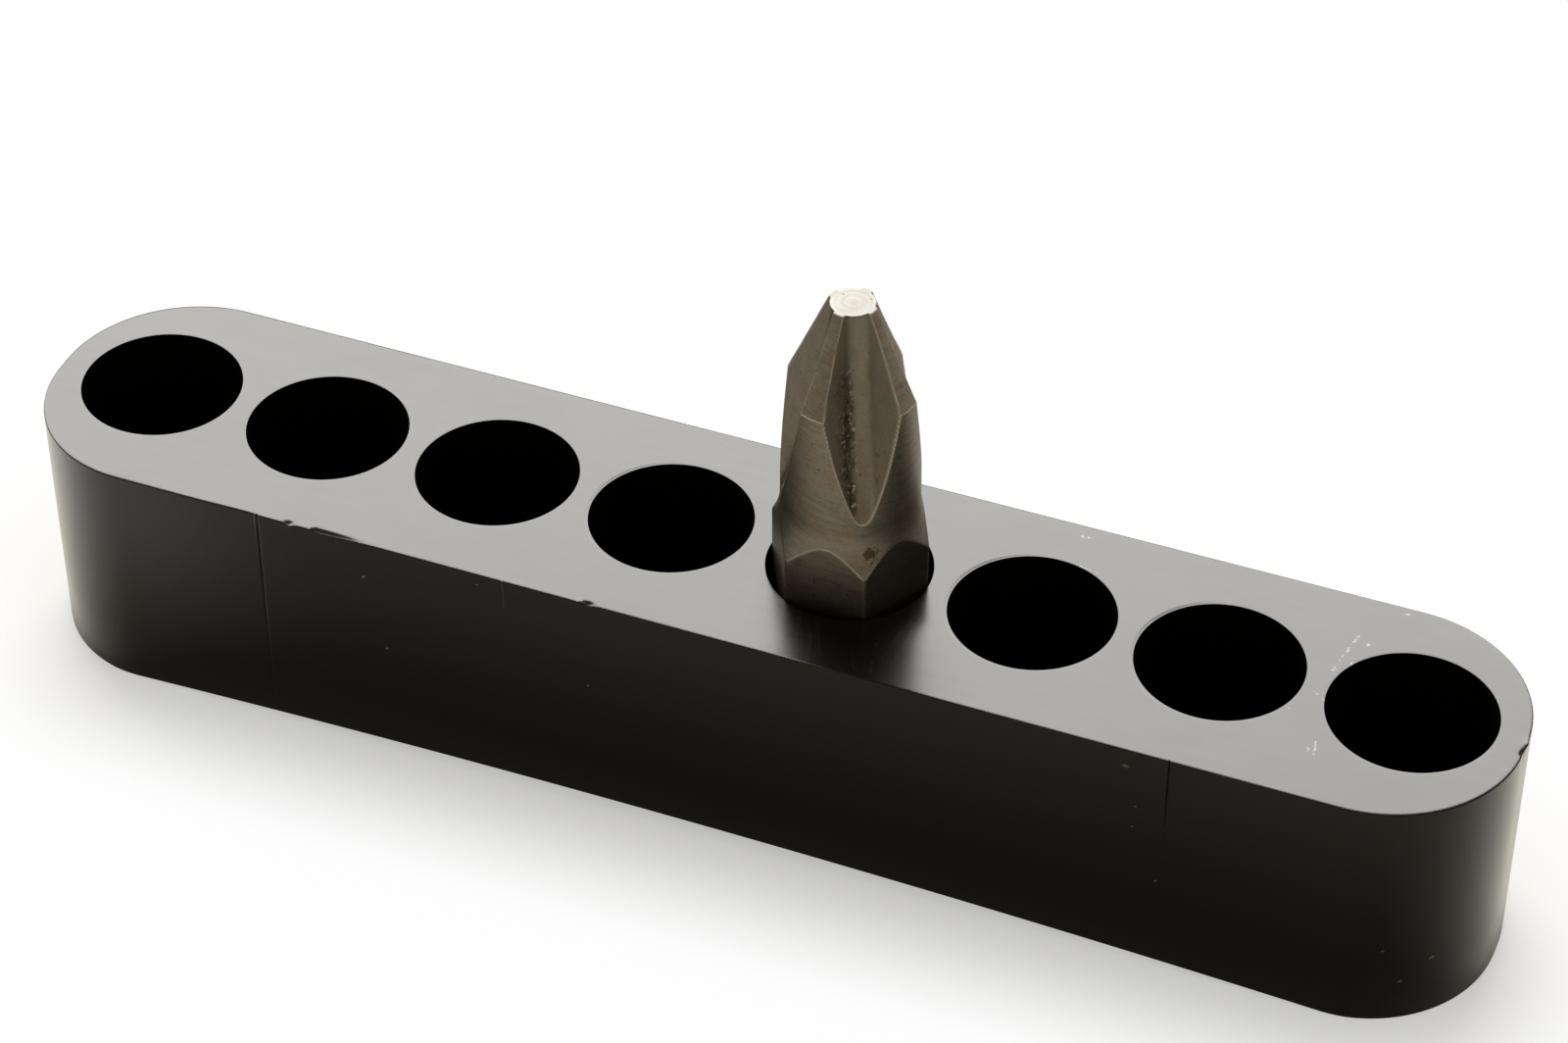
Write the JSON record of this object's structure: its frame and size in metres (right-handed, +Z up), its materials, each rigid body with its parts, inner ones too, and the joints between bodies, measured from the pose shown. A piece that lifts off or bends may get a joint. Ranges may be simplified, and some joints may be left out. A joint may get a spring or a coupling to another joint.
{
  "type": "bit holder",
  "caption": "Black moulded block with rounded ends and a single row of round blind sockets that store short hexagon shank screwdriver bits upright; a cross point bit stands in one socket.",
  "frame": {"origin": "under the middle of the block, on the surface that it stands on", "axes": "+X along the row of sockets towards the right end, +Y towards the back, +Z up, the way the bit points"},
  "size_m": [0.0694, 0.013, 0.0267],
  "materials": {
    "holder_plastic": "black, semi-gloss, moulded",
    "bit_steel": "warm grey, ground and turned, not plated"
  },
  "bodies": {
    "root": {"holder": "holder_plastic", "driver_bit": "bit_steel"}
  },
  "joints": []
}
